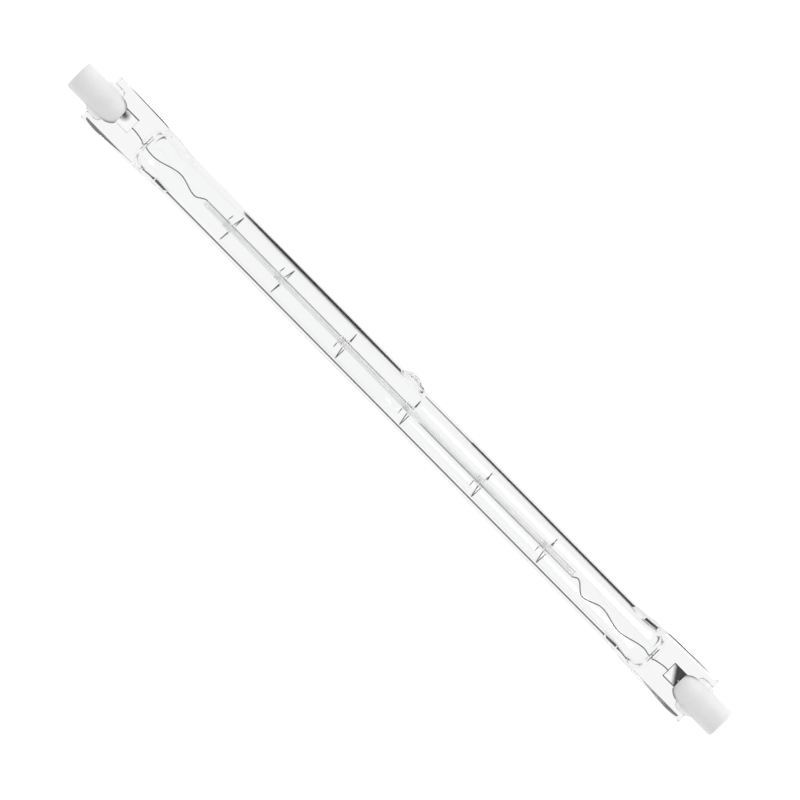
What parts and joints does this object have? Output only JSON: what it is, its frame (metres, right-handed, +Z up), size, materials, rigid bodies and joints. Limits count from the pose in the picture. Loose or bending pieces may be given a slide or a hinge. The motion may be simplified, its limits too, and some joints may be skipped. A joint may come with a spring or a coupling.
{
  "type": "linear halogen bulb",
  "caption": "Long clear quartz tube lamp with a coiled filament on spiral wire supports, flat pressed ends and a ceramic cap with a recessed contact at each end.",
  "frame": {"origin": "middle of the lamp, on the tube's axis", "axes": "+X along the tube towards the right cap, +Y across the flat seals towards the exhaust tip, +Z up out of the flat seals"},
  "size_m": [0.189, 0.0122, 0.01],
  "materials": {
    "quartz": "clear polished fused quartz",
    "tungsten": "drawn grey tungsten wire",
    "molybdenum_foil": "bright rolled foil",
    "lead_wire": "drawn molybdenum wire",
    "cap_ceramic": "unglazed white steatite, matte",
    "contact_metal": "nickel-plated, bright",
    "cement": "off-white setting cement, slightly rough"
  },
  "bodies": {
    "root": {"quartz_envelope": "quartz", "filament": "tungsten", "filament_support_1": "tungsten", "filament_support_2": "tungsten", "filament_support_3": "tungsten", "filament_support_4": "tungsten", "filament_support_5": "tungsten", "filament_support_6": "tungsten", "foil_left": "molybdenum_foil", "foil_right": "molybdenum_foil", "outer_lead_left": "lead_wire", "outer_lead_right": "lead_wire", "cap_left": "cap_ceramic", "cap_right": "cap_ceramic", "contact_left": "contact_metal", "contact_right": "contact_metal", "cement_left": "cement", "cement_right": "cement"}
  },
  "joints": []
}
